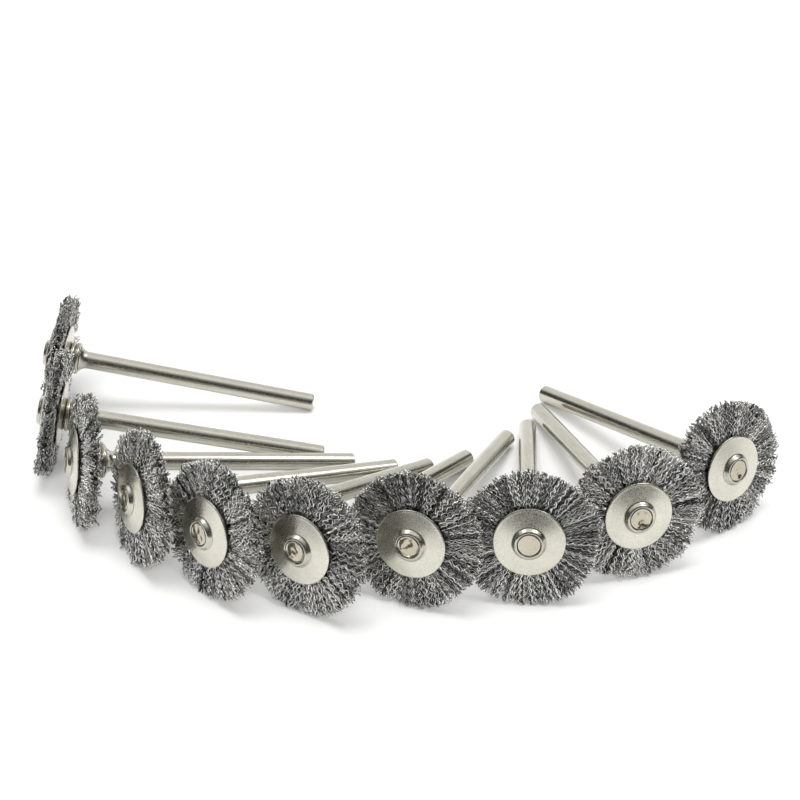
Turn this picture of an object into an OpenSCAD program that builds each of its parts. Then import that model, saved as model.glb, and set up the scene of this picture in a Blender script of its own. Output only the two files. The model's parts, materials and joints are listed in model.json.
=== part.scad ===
// Small wheel brushes of crimped steel wire on round shanks, lying fanned on a table.
// Each brush is a riveted stack: shank, eyelet, core ring, wires and two stamped flanges.
// Millimetres, +Z up, the table is z = 0 and the row is centred on the origin.

/* [Shank] */
// Diameter of the plain shank that a collet grips
shank_d = 3; // [2.4:0.1:3.2]
// Distance from the middle of the wheel back to the end of the shank
shank_reach = 45.4; // [40:0.1:50]
// Size of the chamfer at the end of the shank
tail_chamfer = 0.25; // [0.1:0.05:0.5]
// Diameter of the swaged shoulder that stops the eyelet
shoulder_d = 4.4; // [4:0.1:5]
// Length of the flare that leads up to the shoulder
shoulder_length = 1.6; // [1:0.1:3]
// How far the peened nose stands in front of the middle of the wheel
nose_reach = 2.5; // [2.35:0.05:2.75]

/* [Wires] */
// Diameter over the ends of the wires
wheel_d = 20.8; // [19:0.1:22]
// Thickness of the pack of wires at its rim
rim_width = 1.9; // [1.6:0.1:2.1]
// Rounding of the two corners of the rim
rim_edge = 0.3; // [0.1:0.05:0.5]

/* [Flanges] */
// Diameter of the stamped flanges
flange_d = 10.8; // [9:0.1:12]
// Thickness of the stamped sheet
sheet = 0.3; // [0.2:0.05:0.4]
// Distance from the middle of the wheel to a flange's outer face, at the hub
flange_out = 1.95; // [1.85:0.05:2.05]
// How far the dish of a flange falls back between the hub and the rim
dish = 0.4; // [0.2:0.05:0.5]

/* [Eyelet] */
// Diameter of the collar rolled over the front flange
collar_d = 5.2; // [5:0.1:6]
// Height of the rolled collar
collar_height = 0.6; // [0.4:0.05:0.7]
// Diameter of the mouth around the nose
mouth_d = 3.6; // [3.5:0.05:3.8]
// Diameter of the boss behind the rear flange
boss_d = 5.6; // [5:0.1:6]
// Length of the boss behind the rear flange
boss_length = 1.7; // [1.5:0.1:2]

/* [Hidden] */
$fn = 96;

// Where the middle of each wheel lies before centring, and the way its face looks:
// 0 looks along -Y, and a positive angle turns the face towards +X
places = [
  [-60, -1.5, -92],
  [-57.5, -20.5, -89],
  [-50.5, -35, -73],
  [-40, -45, -61.5],
  [-28, -53.5, -47.5],
  [-14, -57.5, -34.5],
  [2, -56, -21.5],
  [19, -55.5, -4],
  [35.5, -49, 14.5],
  [51.5, -36.5, 35]
];

// Sizes shared by pieces that fit together
shank_r = shank_d / 2;
wheel_r = wheel_d / 2;
flange_r = flange_d / 2;
half_rim = rim_width / 2;
eyelet_wall = 0.6;
eyelet_r = shank_r + eyelet_wall;
ring_wall = 0.9;
ring_r = eyelet_r + ring_wall;
ring_half = 0.8;
flange_in = flange_out - sheet;
mouth_depth = 0.7;
mouth_floor = flange_out + collar_height - mouth_depth;
boss_back = -flange_out - boss_length;
nose_edge = 0.2;
groove_depth = 0.35;
rolled_edge = 0.3;
arc_steps = 8;

// A brush lies on the rim of its wheel and on the end of its shank
lean = atan2(wheel_r - shank_r, shank_reach - tail_chamfer - half_rim + rim_edge);
wheel_height = wheel_r * cos(lean) + (half_rim - rim_edge) * sin(lean);

// The points that decide how far a brush reaches, as radius and distance along its axis
outline = [
  [wheel_r, half_rim - rim_edge],
  [wheel_r, rim_edge - half_rim],
  [wheel_r - rim_edge, half_rim],
  [wheel_r - rim_edge, -half_rim],
  [shank_r, tail_chamfer - shank_reach],
  [shank_r - tail_chamfer, -shank_reach]
];

function forward(p) = [sin(p[2]) * cos(lean), -cos(p[2]) * cos(lean)];
function reach(p, k, side) =
  side * p[k] + max([for (q = outline)
    side * q[1] * forward(p)[k] + q[0] * sqrt(1 - pow(forward(p)[k], 2))]);
function middle(k) =
  (max([for (p = places) reach(p, k, 1)]) - max([for (p = places) reach(p, k, -1)])) / 2;

// Points on an arc about a centre in the radius and distance plane
function bend(c, r, from, to) =
  [for (i = [0:arc_steps]) c + r * [cos(from + (to - from) * i / arc_steps),
    sin(from + (to - from) * i / arc_steps)]];

// Stands a turned shape on the table as one of the brushes
module lay(number) {
  p = places[number - 1];
  translate([p[0] - middle(0), p[1] - middle(1), wheel_height])
    rotate([0, 90 - lean, p[2] - 90])
      rotate_extrude()
        children();
}

module shank(number) {
  color("gainsboro")
    lay(number)
      polygon(concat(
        [[0, -shank_reach], [shank_r - tail_chamfer, -shank_reach],
          [shank_r, tail_chamfer - shank_reach], [shank_r, boss_back - shoulder_length]],
        bend([shank_r + shoulder_length, boss_back - shoulder_length],
          shoulder_length, 170, 130),
        [[shoulder_d / 2, boss_back], [shank_r, boss_back], [shank_r, nose_reach - nose_edge]],
        bend([shank_r - nose_edge, nose_reach - nose_edge], nose_edge, 15, 90),
        [[0, nose_reach]]
      ));
}

module eyelet(number) {
  collar_r = collar_height / 2;
  boss_r = boss_length / 4;
  color("silver")
    lay(number)
      polygon(concat(
        [[shank_r, boss_back], [boss_d / 2 - boss_r, boss_back]],
        bend([boss_d / 2 - boss_r, boss_back + boss_r], boss_r, -75, 75),
        [[boss_d / 2 - groove_depth - boss_r / 2, boss_back + 2 * boss_r]],
        bend([boss_d / 2 - boss_r, boss_back + 3 * boss_r], boss_r, -75, 75),
        [[boss_d / 2 - boss_r, -flange_out], [eyelet_r, -flange_out],
          [eyelet_r, flange_out], [collar_d / 2 - collar_r / 2, flange_out]],
        bend([collar_d / 2 - collar_r, flange_out + collar_r], collar_r, -60, 90),
        bend([mouth_d / 2 + collar_r / 2, flange_out + collar_height - collar_r / 2],
          collar_r / 2, 90, 180),
        [[mouth_d / 2, mouth_floor], [shank_r, mouth_floor]]
      ));
}

module core_ring(number) {
  color("dimgray")
    lay(number)
      translate([eyelet_r, -ring_half])
        square([ring_wall, 2 * ring_half]);
}

// Half of the pack's thickness where it is pinched between the flanges
function pinch(r) = flange_in - dish * (r - eyelet_r) / (flange_r - rolled_edge - eyelet_r);

module wires(number) {
  clamp_r = flange_r - rolled_edge;
  side = [
    [eyelet_r, ring_half],
    [eyelet_r, flange_in],
    [clamp_r, pinch(clamp_r)],
    [clamp_r + 0.6, half_rim],
    [wheel_r - rim_edge, half_rim],
    [wheel_r, half_rim - rim_edge]
  ];
  color("slategray")
    lay(number)
      polygon(concat(
        [[ring_r, ring_half]],
        side,
        [for (i = [len(side) - 1:-1:0]) [side[i][0], -side[i][1]]],
        [[ring_r, -ring_half]]
      ));
}

module flange_profile() {
  clamp_r = flange_r - rolled_edge;
  polygon([
    [eyelet_r, flange_in],
    [clamp_r, flange_in - dish],
    [flange_r, flange_in - dish],
    [flange_r, flange_in - dish + sheet / 2],
    [clamp_r, flange_out - dish],
    [eyelet_r, flange_out]
  ]);
}

module front_flange(number) {
  color("lightgray")
    lay(number)
      flange_profile();
}

module rear_flange(number) {
  color("darkgray")
    lay(number)
      mirror([0, 1])
        flange_profile();
}

shank(1);  // shank_01
eyelet(1);  // eyelet_01
core_ring(1);  // core_ring_01
wires(1);  // wires_01
front_flange(1);  // front_flange_01
rear_flange(1);  // rear_flange_01
shank(2);  // shank_02
eyelet(2);  // eyelet_02
core_ring(2);  // core_ring_02
wires(2);  // wires_02
front_flange(2);  // front_flange_02
rear_flange(2);  // rear_flange_02
shank(3);  // shank_03
eyelet(3);  // eyelet_03
core_ring(3);  // core_ring_03
wires(3);  // wires_03
front_flange(3);  // front_flange_03
rear_flange(3);  // rear_flange_03
shank(4);  // shank_04
eyelet(4);  // eyelet_04
core_ring(4);  // core_ring_04
wires(4);  // wires_04
front_flange(4);  // front_flange_04
rear_flange(4);  // rear_flange_04
shank(5);  // shank_05
eyelet(5);  // eyelet_05
core_ring(5);  // core_ring_05
wires(5);  // wires_05
front_flange(5);  // front_flange_05
rear_flange(5);  // rear_flange_05
shank(6);  // shank_06
eyelet(6);  // eyelet_06
core_ring(6);  // core_ring_06
wires(6);  // wires_06
front_flange(6);  // front_flange_06
rear_flange(6);  // rear_flange_06
shank(7);  // shank_07
eyelet(7);  // eyelet_07
core_ring(7);  // core_ring_07
wires(7);  // wires_07
front_flange(7);  // front_flange_07
rear_flange(7);  // rear_flange_07
shank(8);  // shank_08
eyelet(8);  // eyelet_08
core_ring(8);  // core_ring_08
wires(8);  // wires_08
front_flange(8);  // front_flange_08
rear_flange(8);  // rear_flange_08
shank(9);  // shank_09
eyelet(9);  // eyelet_09
core_ring(9);  // core_ring_09
wires(9);  // wires_09
front_flange(9);  // front_flange_09
rear_flange(9);  // rear_flange_09
shank(10);  // shank_10
eyelet(10);  // eyelet_10
core_ring(10);  // core_ring_10
wires(10);  // wires_10
front_flange(10);  // front_flange_10
rear_flange(10);  // rear_flange_10
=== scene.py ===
import json
import math

import bpy
import numpy as np
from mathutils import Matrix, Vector

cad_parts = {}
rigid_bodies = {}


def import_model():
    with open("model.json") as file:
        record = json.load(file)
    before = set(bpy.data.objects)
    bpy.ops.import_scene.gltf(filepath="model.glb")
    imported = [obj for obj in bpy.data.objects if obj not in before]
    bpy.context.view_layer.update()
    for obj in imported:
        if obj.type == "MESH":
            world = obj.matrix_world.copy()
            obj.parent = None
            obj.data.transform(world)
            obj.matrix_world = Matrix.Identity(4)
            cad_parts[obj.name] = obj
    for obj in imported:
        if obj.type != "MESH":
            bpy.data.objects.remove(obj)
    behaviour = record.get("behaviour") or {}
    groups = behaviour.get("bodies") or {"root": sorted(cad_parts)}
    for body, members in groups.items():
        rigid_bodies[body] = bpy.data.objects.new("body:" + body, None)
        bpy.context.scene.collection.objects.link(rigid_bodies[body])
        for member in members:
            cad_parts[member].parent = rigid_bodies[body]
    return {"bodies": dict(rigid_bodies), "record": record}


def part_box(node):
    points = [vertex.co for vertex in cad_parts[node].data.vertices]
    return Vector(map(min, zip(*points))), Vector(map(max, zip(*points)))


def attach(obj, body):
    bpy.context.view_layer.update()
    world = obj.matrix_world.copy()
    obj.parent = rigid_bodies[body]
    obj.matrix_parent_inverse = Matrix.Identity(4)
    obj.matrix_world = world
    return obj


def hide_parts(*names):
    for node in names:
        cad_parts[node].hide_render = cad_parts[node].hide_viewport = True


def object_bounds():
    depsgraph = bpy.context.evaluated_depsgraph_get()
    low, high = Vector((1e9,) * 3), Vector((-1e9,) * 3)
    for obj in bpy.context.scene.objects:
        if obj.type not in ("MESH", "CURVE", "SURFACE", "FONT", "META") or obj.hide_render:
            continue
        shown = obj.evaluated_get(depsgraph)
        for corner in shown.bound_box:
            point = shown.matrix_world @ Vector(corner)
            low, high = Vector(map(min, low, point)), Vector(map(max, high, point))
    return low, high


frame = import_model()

cad_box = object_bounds()
MM = 0.001

# ---------------------------------------------------------------- sizes read from the frame
mounts = {m["name"]: m for m in frame["record"]["mounts"]}
BRUSHES = sorted(body[-2:] for body in frame["bodies"])


def middle(node):
    lo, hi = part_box(node)
    return (np.array(lo, float) + np.array(hi, float)) / 2


def axes_of(number):
    """The brush's own axes as rows: sideways, up in the plane of its wheel, and out of its face."""
    out = -np.array(mounts[f"shank_{number}_grip"]["axis"], float)
    out /= np.linalg.norm(out)
    side = np.cross(np.array((0, 0, 1.0)), out)
    side /= np.linalg.norm(side)
    return np.array((side, np.cross(out, side), out))


def disc_radius(node, axis, half):
    """Radius of a turned disc from the height of its box; half is half the thickness of its rim."""
    lo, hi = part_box(node)
    lean = abs(axis[2])
    return ((hi[2] - lo[2]) / 2 - half * lean) / math.sqrt(1 - lean * lean)


CAD_PACK_HALF = 0.8 * MM
CAD_RIM_HALF = 0.1 * MM
first = BRUSHES[0]
grip = mounts[f"shank_{first}_grip"]
SHANK_R = grip["dims"]["r_mm"] * MM
WHEEL_R = disc_radius(f"wires_{first}", axes_of(first)[2], CAD_PACK_HALF)
FLANGE_R = disc_radius(f"front_flange_{first}", axes_of(first)[2], CAD_RIM_HALF)
TABLE_Z = float(cad_box[0][2])
GRIP_HALF = grip["dims"]["length_mm"] * MM / 2
GRIP_MIDDLE = float(np.dot(np.array(grip["pos_m"]) - middle(f"wires_{first}"), axes_of(first)[2]))

# ---------------------------------------------------------------- sizes of the metal pieces
# Places along the axis are from the middle of the wheel, positive towards the face
TAIL_CHAMFER = 0.25 * MM
TAIL_END = GRIP_MIDDLE - GRIP_HALF - TAIL_CHAMFER
FLARE_END = GRIP_MIDDLE + GRIP_HALF
FLANGE_OUT = 1.95 * MM
SHEET = 0.3 * MM
SHEET_UNEVEN = 0.02 * MM
SHEET_WAVES = 5
SHEET_RADIANS = 0.35 / MM
ROLLED_RIM = 0.3 * MM
INNER_LIP = 0.05 * MM
DISH = 0.45 * MM
EYELET_R = SHANK_R + 0.6 * MM
BOSS_LENGTH = 1.7 * MM
BOSS_R = 2.8 * MM
BOSS_BACK = -FLANGE_OUT - BOSS_LENGTH
GROOVE_R = 0.12 * MM
GROOVE_DEPTH = 0.45 * MM
COLLAR_R = 2.6 * MM
COLLAR_H = 0.6 * MM
COLLAR_SLOPE = 0.58 * MM
COLLAR_BED = 0.02 * MM
MOUTH_R = 1.8 * MM
MOUTH_ROUND = 0.13 * MM
NOSE_END = 2.5 * MM
NOSE_EDGE = 0.09 * MM
SHOULDER_R = 2.2 * MM
SHOULDER_ROUND = 0.12 * MM
RING_R = EYELET_R + 0.9 * MM
RING_HALF = 0.8 * MM
RING_COILS = 3
# Points round each kind of turned piece
SHANK_TURNS = 72
EYELET_TURNS = 96
FLANGE_TURNS = 128
RING_TURNS = 64
# Rings of points across the flat end of the nose
CAP_RINGS = 11
# How each nose was struck: pits (x, y, width, depth mm) and facets (direction, slope mm, start)
NOSES = {
    "01": dict(crown=0.06, pits=[(0.2, -0.3, 0.35, 0.12)], facets=[(2.0, 0.1, 0.1)]),
    "02": dict(crown=0.08, pits=[(-0.3, 0.1, 0.3, 0.1)], facets=[(0.5, 0.12, 0.0)]),
    "03": dict(crown=0.05, pits=[(0.1, 0.1, 0.4, 0.1)], facets=[(4.0, 0.1, 0.2)]),
    "04": dict(crown=0.10, pits=[(0.3, 0.2, 0.3, 0.12)], facets=[(3.3, 0.2, 0.1)]),
    "05": dict(crown=0.08, pits=[(-0.25, 0.2, 0.3, 0.14), (0.3, -0.25, 0.28, 0.12)],
               facets=[(1.2, 0.2, 0.1), (3.9, 0.22, 0.2)]),
    "06": dict(crown=0.04, pits=[(0.0, 0.1, 0.35, 0.2), (0.4, -0.3, 0.25, 0.14)],
               facets=[(0.4, 0.25, 0.25), (2.6, 0.25, 0.1), (4.6, 0.2, 0.3)]),
    "07": dict(crown=0.05, pits=[(0.1, 0.3, 0.3, 0.2), (-0.3, -0.1, 0.3, 0.16)],
               facets=[(5.2, 0.3, 0.1), (2.3, 0.25, 0.3), (3.7, 0.2, 0.35)]),
    "08": dict(crown=0.01, pits=[], facets=[]),
    "09": dict(crown=0.05, pits=[(0.10, -0.52, 0.40, 0.5)], facets=[(1.6, 0.06, 0.2)]),
    "10": dict(crown=0.06, pits=[(0.1, -0.45, 0.34, 0.3), (-0.2, 0.35, 0.3, 0.14)],
               facets=[(0.7, 0.2, 0.25)]),
}

# ---------------------------------------------------------------- sizes of the wires
# Each wire is a thin tube with this many flat sides
WIRE_SIDES = 3
WIRE_R = 0.112 * MM
WIRES = 1260
WIRE_STEPS = 26
# Wires that were crimped together stand in a lock and share their phase and lean
LOCKS = 116
WIRE_ROOT = FLANGE_R - 0.55 * MM
TIP_R = WHEEL_R + 0.12 * MM
SHORTEST = WHEEL_R - 2.4 * MM
LONGEST = WHEEL_R + 0.62 * MM
SHORT_SHARE = 0.06
STRAY_SHARE = 0.035
# Half the thickness of the pack, and the most that the flanges leave between them
PACK_HALF = 0.88 * MM
HELD_HALF = 1.05 * MM
HELD_R = FLANGE_R + 0.2 * MM
# Wires nearer to the table than this are pressed flat, down to the gap
PRESSED = 0.35 * MM
TABLE_GAP = 0.01 * MM
# How far the worn wires of a brush lean back towards its shank
LEAN_BACK = {"01": 0.6 * MM, "02": 0.1 * MM, "03": 0.55 * MM, "04": 0.35 * MM, "05": 0.15 * MM}
# The brushes whose wires are painted brighter and with more contrast: painted glints and painted shade for
# the light that falls on their sides
PAINTED_BRIGHT_BRUSHES = ("03", "04", "05", "06", "09")
# The brushes seen edge on, whose wires are crimped in every direction
EDGE_ON = ("01", "02", "03")
# How deep the crimps are, in millimetres, and how long
CRIMP_DEPTH = {"03": 0.18, "04": 0.21, "05": 0.23, "06": 0.23, "07": 0.2, "08": 0.15, "09": 0.19, "10": 0.19}
OTHER_DEPTH = 0.13
CRIMP_PITCH = {"03": 1.3 * MM, "04": 1.4 * MM, "05": 1.45 * MM, "06": 1.45 * MM, "07": 1.3 * MM,
               "09": 1.3 * MM, "10": 1.3 * MM}
OTHER_PITCH = 1.15 * MM


# ---------------------------------------------------------------- mesh helpers
def link_object(name, data):
    ob = bpy.data.objects.new(name, data)
    bpy.context.collection.objects.link(ob)
    return ob


def new_mesh(name, verts, faces, uv, uv_name):
    """A smooth mesh object from arrays; faces is a list of arrays, each of quads or of triangles."""
    me = bpy.data.meshes.new(name)
    verts = np.asarray(verts, np.float32)
    sizes = np.concatenate([np.full(len(f), f.shape[1], np.int32) for f in faces])
    loops = np.concatenate([f.ravel() for f in faces]).astype(np.int32)
    starts = np.concatenate([[0], np.cumsum(sizes)[:-1]]).astype(np.int32)
    me.vertices.add(len(verts))
    me.vertices.foreach_set("co", verts.ravel())
    me.loops.add(len(loops))
    me.loops.foreach_set("vertex_index", loops)
    me.polygons.add(len(sizes))
    me.polygons.foreach_set("loop_start", starts)
    me.polygons.foreach_set("use_smooth", np.full(len(sizes), True))
    me.update(calc_edges=True)
    layer = me.uv_layers.new(name=uv_name)
    layer.data.foreach_set("uv", np.asarray(uv, np.float32).ravel())
    me.validate()
    return link_object(name, me)


def point_values(mesh, name, values):
    """Stores one number for each point, for a material to read."""
    layer = mesh.attributes.new(name=name, type="FLOAT", domain="POINT")
    layer.data.foreach_set("value", np.asarray(values, np.float32))


def place(verts, number):
    """From a brush's own axes to the row frame."""
    return np.asarray(verts) @ axes_of(number) + middle(f"wires_{number}")


def arc(centre, radius, start, end, steps):
    """Points on an arc in the radius and distance plane, angles in degrees."""
    angles = np.radians(np.linspace(start, end, steps + 1))
    return [(centre[0] + radius * math.cos(a), centre[1] + radius * math.sin(a)) for a in angles]


def turned_points(outline, around):
    """The rings of points that an outline of (r, z) makes when it is turned."""
    r, z = outline[:, :1], outline[:, 1:]
    rings = np.stack([r * np.cos(around), r * np.sin(around), np.repeat(z, len(around), 1)], -1)
    return rings.reshape(-1, 3)


def turned_quads(rings, gaps, turns, length):
    """The quads in the gaps between rings, and their map: u is round the piece and v is along its outline."""
    i, j = np.meshgrid(np.arange(gaps), np.arange(turns), indexing="ij")
    after, beside = (i + 1) % rings, (j + 1) % turns
    quads = np.stack([i * turns + j, after * turns + j, after * turns + beside, i * turns + beside], -1)
    u0, u1 = j / turns, (j + 1) / turns
    v0, v1 = length[i], length[i + 1]
    corners = [np.stack(corner, -1) for corner in ((u0, v0), (u0, v1), (u1, v1), (u1, v0))]
    return quads.reshape(-1, 4), np.stack(corners, 2).reshape(-1, 2)


def end_fans(rings, turns, length):
    """The two fans of triangles that close an open outline on its axis, and their map."""
    j = np.arange(turns)
    beside = (j + 1) % turns
    last_ring = (rings - 1) * turns
    start_point, end_point = rings * turns, rings * turns + 1
    start_fan = np.stack([np.full(turns, start_point), j, beside], -1)
    end_fan = np.stack([np.full(turns, end_point), last_ring + beside, last_ring + j], -1)
    u0, u1 = j / turns, (j + 1) / turns

    def fan_map(corners):
        return np.stack([np.stack([u, np.full(turns, v)], -1) for u, v in corners], 1).reshape(-1, 2)
    start_map = fan_map([(u0, length[0]), (u0, length[1]), (u1, length[1])])
    end_map = fan_map([(u0, length[rings + 1]), (u1, length[rings]), (u0, length[rings])])
    return start_fan, end_fan, np.vstack([start_map, end_map])


def lathe(name, outline, number, turns, sharp, closed=True, shape=None):
    """Turns an outline of (r, z) points about the brush's axis. A closed outline makes a ring; an open one
    starts and ends on the axis. Edges sharper than sharp degrees stay hard. shape may move the points."""
    points = np.array(outline, float)
    # the seam in the map lies on the side that faces the table
    around = -math.pi / 2 + np.linspace(0, 2 * math.pi, turns, endpoint=False)
    steps = np.diff(np.vstack([points, points[:1]]), axis=0)
    length = np.concatenate([[0], np.cumsum(np.linalg.norm(steps, axis=1))])
    if closed:
        verts = turned_points(points, around)
        quads, uv = turned_quads(len(points), len(points), turns, length)
        faces = [quads]
    else:
        rings = len(points) - 2
        verts = np.vstack([turned_points(points[1:-1], around), (0, 0, points[0, 1]), (0, 0, points[-1, 1])])
        quads, quad_map = turned_quads(rings, rings - 1, turns, length[1:])
        start_fan, end_fan, fan_map = end_fans(rings, turns, length)
        uv = np.vstack([quad_map, fan_map])
        faces = [quads, start_fan, end_fan]
    # the map is in millimetres at the widest ring
    uv = uv * (2 * math.pi * points[:, 0].max() / MM, 1 / MM)
    if shape is not None:
        verts = shape(verts)
    ob = new_mesh(name, place(verts, number), faces, uv, "turned")
    ob.data.set_sharp_from_angle(angle=math.radians(sharp))
    return ob


# ---------------------------------------------------------------- material helpers
# Where a colour mix node keeps its factor and its two colours, and where it gives its result
MIX_INPUTS = (0, 6, 7)
MIX_RESULT = 2


def nodes_for(name):
    mat = bpy.data.materials.new(name)
    mat.use_nodes = True
    tree = mat.node_tree
    shader = next(n for n in tree.nodes if n.type == "BSDF_PRINCIPLED")
    return mat, tree, shader


def add(tree, kind, **values):
    """A new node; each value is a property of it or, with _ for a space, one of its inputs."""
    node = tree.nodes.new(kind)
    for key, value in values.items():
        if hasattr(node, key):
            setattr(node, key, value)
        else:
            node.inputs[key.replace("_", " ")].default_value = value
    return node


def link(tree, a, b):
    tree.links.new(a, b)


def attribute(tree, name):
    return add(tree, "ShaderNodeAttribute", attribute_name=name).outputs["Fac"]


def ramp(tree, source, stops):
    """Colours at places from 0 to 1."""
    node = tree.nodes.new("ShaderNodeValToRGB")
    elements = node.color_ramp.elements
    while len(elements) > 1:
        elements.remove(elements[-1])
    elements[0].position = stops[0][0]
    elements[0].color = (*stops[0][1], 1)
    for at, colour in stops[1:]:
        elements.new(at).color = (*colour, 1)
    link(tree, source, node.inputs["Fac"])
    return node.outputs["Color"]


def noise(tree, vector, scale, detail, rough):
    node = add(tree, "ShaderNodeTexNoise", Scale=scale, Detail=detail, Roughness=rough)
    link(tree, vector, node.inputs["Vector"])
    return node.outputs["Fac"]


def row_place(tree):
    """The place of a point in the row frame."""
    return tree.nodes.new("ShaderNodeTexCoord").outputs["Object"]


def space_noise(tree, scale, detail, rough):
    """Noise in the row frame, scale in waves per millimetre."""
    return noise(tree, row_place(tree), scale / MM, detail, rough)


def turned_noise(tree, scale_round, scale_along, seed):
    """Noise over a turned piece's own map, in waves per millimetre round and along it."""
    uv = add(tree, "ShaderNodeUVMap", uv_map="turned")
    stretch = add(tree, "ShaderNodeMapping", Scale=(scale_round, scale_along, 1),
                  Location=(seed, seed * 0.7, seed * 0.3))
    link(tree, uv.outputs[0], stretch.inputs["Vector"])
    return noise(tree, stretch.outputs[0], 1.0, 4.0, 0.7)


def scratches(tree, turn, seed):
    """Sparse straight scratches in one direction of the row frame, as a mask from 0 to 1."""
    long, fine = 0.5 / MM, 15.0 / MM
    stretch = add(tree, "ShaderNodeMapping", Rotation=turn, Scale=(long, fine, fine),
                  Location=(seed, seed * 1.7, seed * 0.6))
    link(tree, row_place(tree), stretch.inputs["Vector"])
    return remap(tree, noise(tree, stretch.outputs[0], 1.0, 1.0, 0.5), 0, 1, 0.64, 0.74)


def remap(tree, source, lo, hi, from_lo=0.3, from_hi=0.7):
    """Stretches a range, by default the one where most of a noise lies, to lo and hi."""
    node = add(tree, "ShaderNodeMapRange", From_Min=from_lo, From_Max=from_hi, To_Min=lo, To_Max=hi)
    link(tree, source, node.inputs["Value"])
    return node.outputs[0]


def mix_colour(tree, share, a, b, mode="MIX"):
    """Each of share, a and b is a number, a colour or the output of a node."""
    node = add(tree, "ShaderNodeMix", data_type="RGBA", blend_type=mode)
    for at, value in zip(MIX_INPUTS, (share, a, b)):
        if isinstance(value, bpy.types.NodeSocket):
            link(tree, value, node.inputs[at])
        elif isinstance(value, tuple):
            node.inputs[at].default_value = (*value, 1)
        else:
            node.inputs[at].default_value = value
    return node.outputs[MIX_RESULT]


def times(tree, a, b, share=1.0):
    return mix_colour(tree, share, a, b, "MULTIPLY")


def total(tree, *values):
    out = values[0]
    for value in values[1:]:
        node = add(tree, "ShaderNodeMath", operation="ADD")
        link(tree, out, node.inputs[0])
        link(tree, value, node.inputs[1])
        out = node.outputs[0]
    return out


def bump(tree, height, strength, distance, normal=None):
    node = add(tree, "ShaderNodeBump", Strength=strength, Distance=distance)
    link(tree, height, node.inputs["Height"])
    if normal is not None:
        link(tree, normal, node.inputs["Normal"])
    return node.outputs["Normal"]


# ---------------------------------------------------------------- materials
NICKEL_LIGHT = (0.575, 0.562, 0.495)
NICKEL_DARK = (0.505, 0.490, 0.425)
EYELET_DARK = (0.47, 0.45, 0.38)
FLANGE_LIGHT = (0.740, 0.721, 0.631)
FLANGE_DARK = (0.663, 0.644, 0.560)
BARE_IN_SCRATCH = (0.42, 0.40, 0.36)
STRUCK_TINT = (0.93, 0.88, 0.80)
STEEL_LIGHT = (0.36, 0.35, 0.34)
STEEL_DARK = (0.22, 0.21, 0.2)
SPECK_COLOURS = [(0.0, (0.5, 0.46, 0.4)), (0.28, (0.75, 0.73, 0.69)), (0.36, (1, 1, 1))]
# From the darkest wire to the brightest: partly tarnish, partly painted shade and painted glint between the
# wires
WIRE_COLOURS = [(0.0, (0.12, 0.120, 0.115)), (0.34, (0.54, 0.539, 0.517)), (0.64, (0.93, 0.928, 0.893)),
                (1.0, (0.99, 0.988, 0.952))]


def plated(name, light, dark, rough, waves_round, waves_along, seed, drawn, pits, peel, struck=None):
    """Nickel plate: soft tarnish, drawn lines, fine pits and a few crossing scratches."""
    mat, tree, shader = nodes_for(name)
    shader.inputs["Metallic"].default_value = 1.0
    cloud = space_noise(tree, 0.22, 4.0, 0.6)
    lines = turned_noise(tree, waves_round, waves_along, seed)
    specks = space_noise(tree, 3.4, 2.0, 0.6)
    grain = space_noise(tree, 9.0, 2.0, 0.6)
    skin = space_noise(tree, 1.3, 2.0, 0.5)
    cuts = total(tree, scratches(tree, (0.3, 0.5, 0.4), seed), scratches(tree, (1.1, 0.2, 1.9), seed + 3.1),
                 scratches(tree, (0.7, 1.4, 2.8), seed + 5.3))
    tone = mix_colour(tree, remap(tree, cloud, 0, 1), light, dark)
    tone = times(tree, tone, remap(tree, lines, 1 - 0.3 * drawn, 1 + 0.15 * drawn, 0.35, 0.6))
    tone = times(tree, tone, remap(tree, grain, 1 - 0.35 * pits, 1 + 0.15 * pits))
    tone = times(tree, tone, ramp(tree, specks, SPECK_COLOURS), share=0.75)
    tone = mix_colour(tree, remap(tree, cuts, 0, 0.3, 0, 1), tone, BARE_IN_SCRATCH)
    if struck:
        # the hammer has worn the plate off the end of the nose
        tone = mix_colour(tree, attribute(tree, "struck"), tone, times(tree, tone, struck))
    link(tree, tone, shader.inputs["Base Color"])
    roughness = total(tree, remap(tree, cloud, *rough), remap(tree, lines, -0.1 * drawn, 0.15 * drawn),
                      remap(tree, grain, -0.1 * pits, 0.2 * pits), remap(tree, cuts, 0, 0.12, 0, 1))
    link(tree, roughness, shader.inputs["Roughness"])
    relief = bump(tree, lines, drawn, 0.004 * MM)
    relief = bump(tree, grain, pits, 0.006 * MM, relief)
    link(tree, bump(tree, skin, peel, 0.02 * MM, relief), shader.inputs["Normal"])
    return mat


def wire_material(name):
    """Bright steel, each wire with its own tone: partly tarnish, partly painted shade and glint."""
    mat, tree, shader = nodes_for(name)
    shader.inputs["Metallic"].default_value = 1.0
    patches = space_noise(tree, 0.35, 3.0, 0.6)
    grain = space_noise(tree, 5.0, 1.0, 0.5)
    colour = ramp(tree, attribute(tree, "tone"), WIRE_COLOURS)
    colour = times(tree, colour, remap(tree, patches, 0.72, 1.12))
    colour = times(tree, colour, remap(tree, grain, 0.75, 1.15))
    link(tree, colour, shader.inputs["Base Color"])
    link(tree, remap(tree, grain, 0.12, 0.24), shader.inputs["Roughness"])
    return mat


def steel_material(name):
    mat, tree, shader = nodes_for(name)
    shader.inputs["Metallic"].default_value = 1.0
    cloud = space_noise(tree, 0.5, 3.0, 0.6)
    colour = mix_colour(tree, remap(tree, cloud, 0, 1), STEEL_LIGHT, STEEL_DARK)
    link(tree, colour, shader.inputs["Base Color"])
    link(tree, remap(tree, cloud, 0.35, 0.55), shader.inputs["Roughness"])
    return mat


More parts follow.
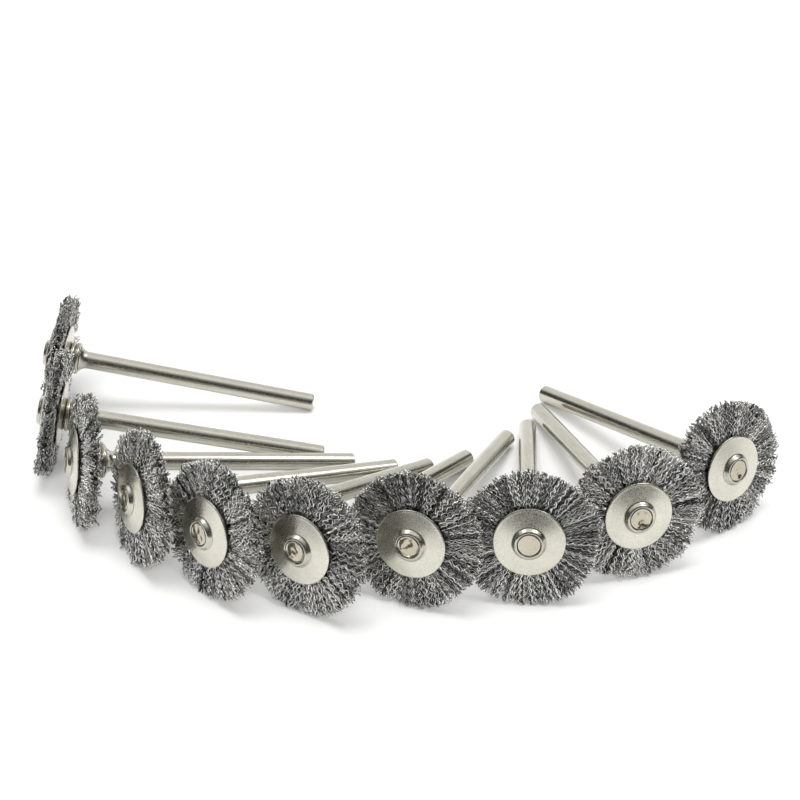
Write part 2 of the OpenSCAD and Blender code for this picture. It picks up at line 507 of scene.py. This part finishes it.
shank_mat = plated("shank_nickel", NICKEL_LIGHT, NICKEL_DARK, (0.13, 0.20), waves_round=6.0, waves_along=0.35,
                   seed=3.1, drawn=0.35, pits=0.08, peel=0.1, struck=STRUCK_TINT)
plate_mat = plated("flange_nickel", FLANGE_LIGHT, FLANGE_DARK, (0.17, 0.24), waves_round=1.0, waves_along=1.2,
                   seed=7.7, drawn=0.08, pits=0.9, peel=0.3)
eyelet_mat = plated("eyelet_nickel", NICKEL_LIGHT, EYELET_DARK, (0.15, 0.23), waves_round=1.0,
                    waves_along=2.0, seed=11.3, drawn=0.1, pits=0.3, peel=0.25)
wire_mat = wire_material("steel_wire")
ring_mat = steel_material("plain_steel")


# ---------------------------------------------------------------- shank
def shank_outline(cap):
    """From the tail to the nose; cap is the radius of the flat end of the nose."""
    small = TAIL_CHAMFER * 0.25
    outline = [(0, TAIL_END), (SHANK_R * 0.35, TAIL_END), (SHANK_R * 0.7, TAIL_END)]
    outline += arc((SHANK_R - TAIL_CHAMFER, TAIL_END + small), small, -90, -45, 3)
    outline += arc((SHANK_R - small, TAIL_END + TAIL_CHAMFER), small, -40, 0, 3)
    for z in np.linspace(TAIL_END + TAIL_CHAMFER * 1.5, FLARE_END - 0.2 * MM, 26):
        outline.append((SHANK_R, z))
    # the shank flares to a shoulder behind the boss
    flare = SHOULDER_R - SHANK_R
    flare_length = BOSS_BACK - SHOULDER_ROUND - FLARE_END
    for t in np.linspace(0, 1, 12):
        outline.append((SHANK_R + flare * t ** 2.2, FLARE_END + flare_length * t))
    outline += arc((SHOULDER_R - SHOULDER_ROUND, BOSS_BACK - SHOULDER_ROUND), SHOULDER_ROUND, 0, 90, 4)
    for z in (BOSS_BACK, 0, NOSE_END - 0.55 * MM, NOSE_END - 0.4 * MM):
        outline.append((SHANK_R, z))
    # the peened nose: its skirt swells a little and its edge is rounded
    outline += arc((cap, NOSE_END - NOSE_EDGE), NOSE_EDGE, 0, 88, 7)
    for t in np.linspace(0.93, 0.05, CAP_RINGS):
        outline.append((cap * t, NOSE_END))
    outline.append((0, NOSE_END))
    return outline


def struck_nose(dents, cap, seed):
    """Moves the points of the flat end of the nose into pits, facets and a low crown."""
    def shape(verts):
        verts = verts.copy()
        on_cap = verts[:, 2] > NOSE_END - 0.3 * NOSE_EDGE
        x, y = verts[:, 0], verts[:, 1]
        r = np.hypot(x, y) / cap
        lift = np.zeros(len(verts))
        for pit_x, pit_y, width, depth in dents["pits"]:
            away = ((x / cap - pit_x) ** 2 + (y / cap - pit_y) ** 2) / width ** 2
            lift -= depth * MM * np.exp(-away)
        for direction, slope, start in dents["facets"]:
            along = (x * math.cos(direction) + y * math.sin(direction)) / cap - start
            lift -= slope * MM * np.clip(along, 0, None)
        lift += dents["crown"] * MM * (1 - r ** 2)
        lift += 0.012 * MM * np.sin(x * 5.1 / MM + seed) * np.sin(y * 4.3 / MM + 2 * seed)
        verts[:, 2] += np.where(on_cap, lift * np.clip((1.02 - r) / 0.1, 0, 1), 0)
        return verts
    return shape


def shank_piece(number, seed):
    rng = np.random.default_rng(seed)
    swell = rng.uniform(0.12, 0.18) * MM
    cap = SHANK_R + swell - NOSE_EDGE
    outline = shank_outline(cap)
    ob = lathe(f"shank_pin_{number}", outline, number, SHANK_TURNS, sharp=50, closed=False,
               shape=struck_nose(NOSES[number], cap, seed))
    # the last rings of points and the very last point are the struck end
    struck = np.zeros(len(ob.data.vertices), np.float32)
    struck[(len(outline) - 2 - CAP_RINGS) * SHANK_TURNS:-2] = 1
    struck[-1] = 1
    point_values(ob.data, "struck", struck)
    ob.data.materials.append(shank_mat)
    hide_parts(f"shank_{number}")
    return ob


# ---------------------------------------------------------------- eyelet
def eyelet_outline():
    """From the back of the boss, with its groove, to the rolled collar, and home along the shank."""
    bead = BOSS_LENGTH / 4
    crest = FLANGE_OUT + COLLAR_H
    out = [(SHANK_R, BOSS_BACK)]
    out += arc((BOSS_R - bead, BOSS_BACK + bead), bead, -88, 70, 12)
    out += arc((BOSS_R - GROOVE_DEPTH + GROOVE_R, BOSS_BACK + 2 * bead), GROOVE_R, -120, -240, 5)
    out += arc((BOSS_R - bead, BOSS_BACK + 3 * bead), bead, -70, 88, 12)
    out += [(EYELET_R, -FLANGE_OUT), (EYELET_R, FLANGE_OUT - COLLAR_BED)]
    for t in np.linspace(0, 1, 13):
        rise = (COLLAR_H - 0.01 * MM) * t * t * (3 - 2 * t)
        out.append((COLLAR_R + 0.03 * MM - t * COLLAR_SLOPE, FLANGE_OUT - COLLAR_BED + rise))
    out += arc((MOUTH_R + MOUTH_ROUND, crest - MOUTH_ROUND), MOUTH_ROUND, 86, 180, 8)
    out += [(MOUTH_R - 0.02 * MM, FLANGE_OUT + 0.1 * MM), (MOUTH_R - 0.1 * MM, FLANGE_OUT - 0.08 * MM)]
    out += [(SHANK_R, FLANGE_OUT - 0.1 * MM), (SHANK_R, 0), (SHANK_R, BOSS_BACK + 0.4 * MM)]
    return out


def uneven_collar(rng):
    """The rolled collar is never quite even."""
    order = rng.integers(2, 4)
    phase = rng.uniform(0, 6.28)
    amount = rng.uniform(0.02, 0.05) * MM

    def shape(verts):
        verts = verts.copy()
        angle = np.arctan2(verts[:, 1], verts[:, 0])
        up = np.clip((verts[:, 2] - FLANGE_OUT) / COLLAR_H, 0, 1)
        verts[:, 2] += up * amount * np.sin(order * angle + phase)
        return verts
    return shape


def eyelet_piece(number, seed):
    shape = uneven_collar(np.random.default_rng(seed))
    ob = lathe(f"eyelet_rivet_{number}", eyelet_outline(), number, EYELET_TURNS, sharp=55, shape=shape)
    ob.data.materials.append(eyelet_mat)
    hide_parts(f"eyelet_{number}")
    return ob


# ---------------------------------------------------------------- flanges
def flange_outline(sign):
    """A stamped flange: a shallow dome whose rim is rolled down over the wires."""
    clamp = FLANGE_R - ROLLED_RIM
    start = EYELET_R + INNER_LIP
    top = []
    for t in np.linspace(0, 1, 14):
        top.append((start + (clamp - start) * t, FLANGE_OUT - DISH * t ** 1.08))
    round_edge = arc((clamp, FLANGE_OUT - DISH - SHEET / 2), SHEET / 2, 80, -80, 8)
    rolled = [(clamp + (r - clamp) * ROLLED_RIM / (SHEET / 2), z) for r, z in round_edge]
    under = [(r, z - SHEET) for r, z in reversed(top)]
    return [(r, sign * z) for r, z in [(EYELET_R, FLANGE_OUT - INNER_LIP)] + top + rolled + under]


def stamped_sheet(seed):
    """A small smooth unevenness, as stamped sheet has: a few waves that add up to about SHEET_UNEVEN."""
    rng = np.random.default_rng(seed)
    ways = rng.normal(0, SHEET_RADIANS, (SHEET_WAVES, 2))
    phases = rng.uniform(0, 2 * math.pi, SHEET_WAVES)
    sizes = rng.uniform(0.4, 1.0, SHEET_WAVES) * SHEET_UNEVEN / 2.2

    def shape(verts):
        verts = verts.copy()
        x, y = verts[:, 0], verts[:, 1]
        verts[:, 2] += sum(s * np.sin(x * w[0] + y * w[1] + p) for s, w, p in zip(sizes, ways, phases))
        return verts
    return shape


def flange_piece(number, sign, seed):
    name = "face_flange" if sign > 0 else "back_flange"
    ob = lathe(f"{name}_{number}", flange_outline(sign), number, FLANGE_TURNS, sharp=40,
               shape=stamped_sheet(seed))
    ob.data.materials.append(plate_mat)
    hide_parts(f"{'front' if sign > 0 else 'rear'}_flange_{number}")
    return ob


# ---------------------------------------------------------------- core ring
def ring_piece(number):
    """The ring that the wires are folded over, a coil of wire whose turns show as grooves."""
    bore = EYELET_R + 0.02 * MM
    coil = 2 * RING_HALF / RING_COILS
    out = [(bore, RING_HALF), (bore, -RING_HALF)]
    for i in range(RING_COILS):
        out += arc((RING_R - coil / 2, -RING_HALF + coil * (i + 0.5)), coil / 2, -80, 80, 8)
    ob = lathe(f"wire_ring_{number}", out, number, RING_TURNS, sharp=50)
    ob.data.materials.append(ring_mat)
    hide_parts(f"core_ring_{number}")
    return ob


# ---------------------------------------------------------------- wires
def waves(rng, orders, size):
    """A slow unevenness of a worn pack, as a function of the angle round the wheel."""
    sizes = rng.normal(0, size, len(orders)) / np.sqrt(np.array(orders, float))
    phases = rng.uniform(0, 2 * math.pi, len(orders))
    return lambda angle: sum(s * np.sin(o * angle + p) for s, o, p in zip(sizes, orders, phases))


def wire_lines(number, lock, lock_angle, rng):
    """The middle line of each wire in the brush's own axes: wire, step and place."""
    n = WIRES
    edge_on = number in EDGE_ON
    angle = lock_angle[lock] + rng.normal(0, 0.55, n) * 2 * math.pi / LOCKS
    spread = rng.uniform(-1, 1, n)
    rim = waves(rng, (1, 2, 3, 5, 8), 0.12 * MM)
    bow = waves(rng, (1, 2, 3), 0.14 * MM)
    lean = waves(rng, (1, 2, 3, 4), 0.26 * MM)
    lock_length = rng.normal(0, 0.12, LOCKS)[lock] * MM
    lock_lean = rng.normal(0, 0.13, LOCKS)[lock] * MM
    lock_bow = rng.normal(0, 0.10, LOCKS)[lock] * MM
    lock_phase = np.cumsum(rng.normal(0, 0.8, LOCKS))[lock]
    # how far out each tip is, with a few short wires
    tip = TIP_R + rim(angle) + lock_length + rng.normal(0, 0.2 if edge_on else 0.12, n) * MM
    short = rng.random(n) < SHORT_SHARE
    tip = np.where(short, tip - rng.uniform(0.3, 1.6, n) * MM, tip)
    tip = np.clip(tip, SHORTEST, LONGEST)
    # how far each tip leans round the wheel and out of its plane, with a few strays
    slope = lean(angle) + lock_lean + rng.normal(0, 0.13, n) * MM
    stray = rng.random(n) < STRAY_SHARE
    slope = np.where(stray, slope + rng.normal(0, 1.0, n) * MM, slope)
    flare = spread * 0.08 * MM + bow(angle) + lock_bow
    flare = flare + rng.normal(0, 0.2 if edge_on else 0.15, n) * MM
    flare = np.where(stray, flare + rng.normal(0, 0.5, n) * MM, flare)
    flare = np.tanh(flare / MM) * MM - LEAN_BACK.get(number, 0)
    # the crimp: a wave with a slower one added, in a plane that is mostly that of the wheel
    phase = (lock_phase + rng.normal(0, 2.0 if edge_on else 0.36, n))[:, None]
    pitch = (CRIMP_PITCH.get(number, OTHER_PITCH) * rng.normal(1, 0.03, n))[:, None]
    depth = (CRIMP_DEPTH.get(number, OTHER_DEPTH) * rng.normal(1, 0.22, n).clip(0.5, 1.6) * MM)[:, None]
    turn = rng.normal(0.2, 1.6 if edge_on else 0.6, n)[:, None]
    curl = (rng.normal(0, 0.10, n) * MM)[:, None]
    t = np.linspace(0, 1, WIRE_STEPS + 1)[None, :]
    r = WIRE_ROOT + (tip - WIRE_ROOT)[:, None] * t
    wave = np.sin(2 * math.pi * r / pitch + phase) * depth * np.clip(t * 5 + 0.25, 0, 1)
    slow = np.sin(2 * math.pi * r / (2.1 * pitch) + 1.9 * phase) * 0.3 * depth
    across = slope[:, None] * t ** 1.4 + curl * t ** 4 + (wave + slow) * np.cos(turn)
    out = spread[:, None] * PACK_HALF + flare[:, None] * t ** 1.6 + (wave - slow) * np.sin(turn)
    # the flanges hold the wires together as far out as their rims
    out = np.where(r < HELD_R, np.clip(out, -HELD_HALF, HELD_HALF), out)
    bent = angle[:, None] + across / r
    return np.stack([r * np.cos(bent), r * np.sin(bent), out], -1)


def wire_tubes(line, rng):
    """The points round each wire's middle line: wire, step, side and place."""
    tangent = np.gradient(line, axis=1)
    tangent /= np.linalg.norm(tangent, axis=2, keepdims=True)
    one = np.cross(tangent, np.array((0, 0, 1.0)))
    one /= np.linalg.norm(one, axis=2, keepdims=True)
    two = np.cross(one, tangent)
    twist = rng.uniform(0, 2 * math.pi, WIRES)[:, None]
    thick = (WIRE_R * rng.normal(1, 0.07, WIRES))[:, None, None]
    sides = []
    for k in range(WIRE_SIDES):
        a = twist + 2 * math.pi * k / WIRE_SIDES
        sides.append(line + thick * (np.cos(a)[..., None] * one + np.sin(a)[..., None] * two))
    return np.stack(sides, 2)


def press_on_table(points):
    """Nothing goes through the table: the height of wires that come near it falls off gently."""
    low = TABLE_Z + TABLE_GAP
    height = points[:, 2]
    squeezed = low + PRESSED * np.exp(np.minimum(height - low - PRESSED, 0) / PRESSED)
    points[:, 2] = np.where(height < low + PRESSED, np.maximum(squeezed, low), height)
    return points


def wire_faces():
    """The quads along the wires and the triangles that close their roots and tips."""
    start = np.arange(WIRES) * (WIRE_STEPS + 1) * WIRE_SIDES
    ring = start[:, None, None] + np.arange(WIRE_STEPS)[None, :, None] * WIRE_SIDES
    k = np.arange(WIRE_SIDES)[None, None, :]
    beside = (k + 1) % WIRE_SIDES
    after = ring + WIRE_SIDES
    quads = np.stack([ring + k, ring + beside, after + beside, after + k], -1).reshape(-1, 4)
    last = start + WIRE_STEPS * WIRE_SIDES
    root = np.stack([start, start + 2, start + 1], -1)
    tips = np.stack([last, last + 1, last + 2], -1)
    return [quads, root, tips]


def wire_map():
    """Each wire has its own square cell of the map, with its sides as strips next to each other."""
    cells = math.ceil(math.sqrt(WIRES))
    cell = 1 / cells
    used, border = 0.86 * cell, 0.07 * cell
    wire = np.arange(WIRES)
    corner = np.stack([(wire % cells) * cell, (wire // cells) * cell], -1)
    along = np.arange(WIRE_STEPS)[None, :, None] / WIRE_STEPS
    side = np.arange(WIRE_SIDES)[None, None, :] / WIRE_SIDES
    full = np.ones((WIRES, WIRE_STEPS, WIRE_SIDES))
    u0, u1 = (side + 0.04) * full, (side + 0.30) * full
    v0, v1 = along * full, (along + 1 / WIRE_STEPS) * full
    strips = np.stack([np.stack(pair, -1) for pair in ((u0, v0), (u1, v0), (u1, v1), (u0, v1))], 3)
    strips = strips * used + corner[:, None, None, None, :] + border
    roots = corner[:, None, :] + border + np.zeros((WIRES, 3, 2))
    tips = roots + np.array((0, used))
    return np.vstack([part.reshape(-1, 2) for part in (strips, roots, tips)])


def wire_tones(number, lock, rng):
    """How bright each wire is, from 0 to 1: partly tarnish, partly painted shade and glint."""
    lock_tone = rng.normal(0, 0.10, LOCKS)[lock]
    # these brushes' wires are painted brighter and with a wider spread: painted glint and painted shade
    tone = rng.normal(0.66, 0.36, WIRES) if number in PAINTED_BRIGHT_BRUSHES else rng.normal(0.49, 0.28, WIRES)
    return np.clip(tone + lock_tone, 0, 1)


def wire_piece(number, seed):
    rng = np.random.default_rng(seed)
    lock_angle = (np.arange(LOCKS) + rng.normal(0, 0.18, LOCKS)) * 2 * math.pi / LOCKS
    lock = rng.permutation(np.arange(WIRES) % LOCKS)
    tubes = wire_tubes(wire_lines(number, lock, lock_angle, rng), rng)
    verts = press_on_table(place(tubes.reshape(-1, 3), number))
    ob = new_mesh(f"crimped_wires_{number}", verts, wire_faces(), wire_map(), "OFBake")
    point_values(ob.data, "tone", np.repeat(wire_tones(number, lock, rng), (WIRE_STEPS + 1) * WIRE_SIDES))
    ob.data.materials.append(wire_mat)
    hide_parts(f"wires_{number}")
    return ob


# ---------------------------------------------------------------- the ten brushes
for index, number in enumerate(BRUSHES):
    body = f"brush_{number}"
    pieces = [
        shank_piece(number, 100 + index),
        eyelet_piece(number, 200 + index),
        flange_piece(number, 1, 300 + index),
        flange_piece(number, -1, 400 + index),
        ring_piece(number),
        wire_piece(number, 500 + index),
    ]
    for piece in pieces:
        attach(piece, body)


# ---------------------------------------------------------------- table
TABLE_REACH = 1.2
TABLE_SIDES = 96
TABLE_WHITE = (0.93, 0.93, 0.93)
# The glow of the sheet under the brushes and GLOW_REACH away from them
GLOW_REACH = 0.95
GLOW = (0.40, 1.15)
# A dark grey card just above the sheet in front of the brushes, unseen by the camera and casting no shadow,
# which only the polished metal mirrors: a painted dark reflection
EDGE_NEAR, EDGE_FAR = -0.25, -1.25
EDGE_GREY = (0.18, 0.18, 0.17)


def card(name, verts, faces, colour):
    me = bpy.data.meshes.new(name)
    me.from_pydata(verts, [], faces)
    ob = link_object(name, me)
    mat, _, shader = nodes_for(name)
    shader.inputs["Base Color"].default_value = (*colour, 1)
    shader.inputs["Roughness"].default_value = 1.0
    shader.inputs["Specular IOR Level"].default_value = 0.0
    me.materials.append(mat)
    return ob


def table_top():
    """The white sheet. A glow makes up what the lamps lose far from the brushes, so it is evenly white."""
    angles = [2 * math.pi * i / TABLE_SIDES for i in range(TABLE_SIDES)]
    rim = [(TABLE_REACH * math.cos(a), TABLE_REACH * math.sin(a), TABLE_Z) for a in angles]
    ob = card("table_top", rim, [tuple(range(TABLE_SIDES))], TABLE_WHITE)
    tree = ob.data.materials[0].node_tree
    shader = tree.nodes["Principled BSDF"]
    spot = add(tree, "ShaderNodeNewGeometry")
    away = add(tree, "ShaderNodeVectorMath", operation="LENGTH")
    link(tree, spot.outputs["Position"], away.inputs[0])
    link(tree, remap(tree, away.outputs["Value"], 0.0, GLOW_REACH, *GLOW), shader.inputs["Emission Strength"])
    shader.inputs["Emission Color"].default_value = (1.0, 1.0, 1.0, 1)


def painted_dark_reflection():
    # a card that only the metal's reflections see: painted dark reflection
    z = TABLE_Z + MM
    corners = [(-TABLE_REACH, EDGE_FAR, z), (TABLE_REACH, EDGE_FAR, z), (TABLE_REACH, EDGE_NEAR, z),
               (-TABLE_REACH, EDGE_NEAR, z)]
    ob = card("painted_dark_reflection", corners, [(0, 1, 2, 3)], EDGE_GREY)
    ob.visible_camera = False
    ob.visible_shadow = False
    ob.visible_diffuse = False


# ---------------------------------------------------------------- room
# What the polished metal mirrors: a white ceiling and back wall, and a dark room in front and low at both
# sides. Each row gives the brightness at the HEIGHTS, in degrees above the table.
ROOM_R = 1.3
ROOM_AROUND, ROOM_UP = 96, 60
HEIGHTS = (0, 3, 6, 12, 25, 38, 51, 64, 77, 90)
FRONT = (0.20, 0.17, 0.14, 0.11, 0.08, 0.10, 0.24, 0.60, 1.0, 1.2)
SIDE = (0.80, 0.30, 0.07, 0.05, 0.06, 0.85, 1.1, 1.15, 1.2, 1.2)
BACK = (1.2, 1.15, 1.1, 1.05, 1.0, 0.95, 0.95, 1.0, 1.15, 1.2)
# Where the back wall turns into the side and the side into the front, in degrees from the middle of the back
# wall, and over how many degrees
SIDE_START, SIDE_BLEND = 38, 14
FRONT_START, FRONT_BLEND = 100, 40


def room_light(way, height):
    """way is 0 at the middle of the back wall and 180 behind the camera, in degrees."""
    back, side, front = (float(np.interp(height, HEIGHTS, row)) for row in (BACK, SIDE, FRONT))
    to_side = min(max((way - SIDE_START) / SIDE_BLEND, 0), 1)
    to_front = min(max((way - FRONT_START) / FRONT_BLEND, 0), 1)
    return back + (side - back) * to_side if to_front == 0 else side + (front - side) * to_front


def room_material():
    mat = bpy.data.materials.new("studio_room")
    mat.use_nodes = True
    tree = mat.node_tree
    tree.nodes.clear()
    out = tree.nodes.new("ShaderNodeOutputMaterial")
    emit = add(tree, "ShaderNodeEmission", Color=(1.0, 0.995, 0.98, 1))
    link(tree, attribute(tree, "glow"), emit.inputs["Strength"])
    link(tree, emit.outputs[0], out.inputs["Surface"])
    mat.cycles.emission_sampling = "NONE"
    return mat


def studio_room():
    verts, glow, faces = [], [], []
    for j in range(ROOM_UP + 1):
        height = 90 * j / ROOM_UP
        h = math.radians(height)
        for i in range(ROOM_AROUND):
            a = 2 * math.pi * i / ROOM_AROUND
            from_back = math.atan2(math.sin(a - math.pi / 2), math.cos(a - math.pi / 2))
            verts.append((ROOM_R * math.cos(h) * math.cos(a), ROOM_R * math.cos(h) * math.sin(a),
                          TABLE_Z + ROOM_R * math.sin(h)))
            glow.append(room_light(abs(math.degrees(from_back)), height))
            if j < ROOM_UP:
                low, high, n = j * ROOM_AROUND, (j + 1) * ROOM_AROUND, (i + 1) % ROOM_AROUND
                faces.append((low + i, high + i, high + n, low + n))
    me = bpy.data.meshes.new("studio_room")
    me.from_pydata(verts, [], faces)
    point_values(me, "glow", glow)
    me.materials.append(room_material())
    ob = link_object("studio_room", me)
    ob.visible_camera = False
    ob.visible_shadow = False


def white_world():
    """The camera sees white past the table; nothing is lit by it."""
    world = bpy.data.worlds.new("studio")
    world.use_nodes = True
    background = world.node_tree.nodes["Background"]
    background.inputs["Color"].default_value = (1.0, 1.0, 1.0, 1)
    background.inputs["Strength"].default_value = 1.0
    world.cycles_visibility.diffuse = False
    world.cycles_visibility.glossy = False
    bpy.context.scene.world = world


# ---------------------------------------------------------------- lamps
# Name, place, size and power of the lamps that light everything and that the metal doesn't mirror
SOFT_LAMPS = (("overhead", (0.0, 0.0, 0.85), (0.5, 0.4), 3.1),
              ("front_fill", (0.0, -0.75, 0.55), (0.7, 0.4), 4.7))
# Small lamps that only make the bright wires glint, and the height of the wires they are aimed at
GLINT_LAMPS = (("glint_left", (-0.36, 0.22, 0.79), (0.26, 0.26), 1.0),
               ("glint_right", (0.48, 0.05, 0.76), (0.26, 0.26), 1.7))
GLINT_AIM = (0, 0, 0.01)


def softbox(name, at, aim, size, power):
    data = bpy.data.lights.new(name, "AREA")
    data.shape = "RECTANGLE"
    data.size, data.size_y = size
    data.energy = power
    ob = link_object(name, data)
    ob.location = at
    ob.rotation_euler = (Vector(aim) - Vector(at)).to_track_quat("-Z", "Y").to_euler()
    return ob


def lamps():
    for name, at, size, power in SOFT_LAMPS:
        softbox(name, at, (0, 0, 0), size, power).visible_glossy = False
    for name, at, size, power in GLINT_LAMPS:
        softbox(name, at, GLINT_AIM, size, power).visible_diffuse = False


# ---------------------------------------------------------------- camera
# The photograph's view: the point of the table in the middle of the picture, seen from this high and this far
VIEW_AIM = (0.0012, 0.0277, TABLE_Z)
VIEW_HEIGHT = math.radians(31.73)
VIEW_DISTANCE = 0.2911
SENSOR, LENS = 36.0, 72.67


def photo_camera():
    data = bpy.data.cameras.new("camera")
    data.sensor_width = SENSOR
    data.lens = LENS
    data.clip_start = 0.01
    data.clip_end = 20
    ob = link_object("camera", data)
    aim = Vector(VIEW_AIM)
    ob.location = aim + Vector((0, -math.cos(VIEW_HEIGHT), math.sin(VIEW_HEIGHT))) * VIEW_DISTANCE
    ob.rotation_euler = (aim - ob.location).to_track_quat("-Z", "Y").to_euler()
    bpy.context.scene.camera = ob
    bpy.context.scene.view_settings.view_transform = "Standard"
    bpy.context.scene.view_settings.look = "None"


table_top()
studio_room()
white_world()
lamps()
painted_dark_reflection()
photo_camera()
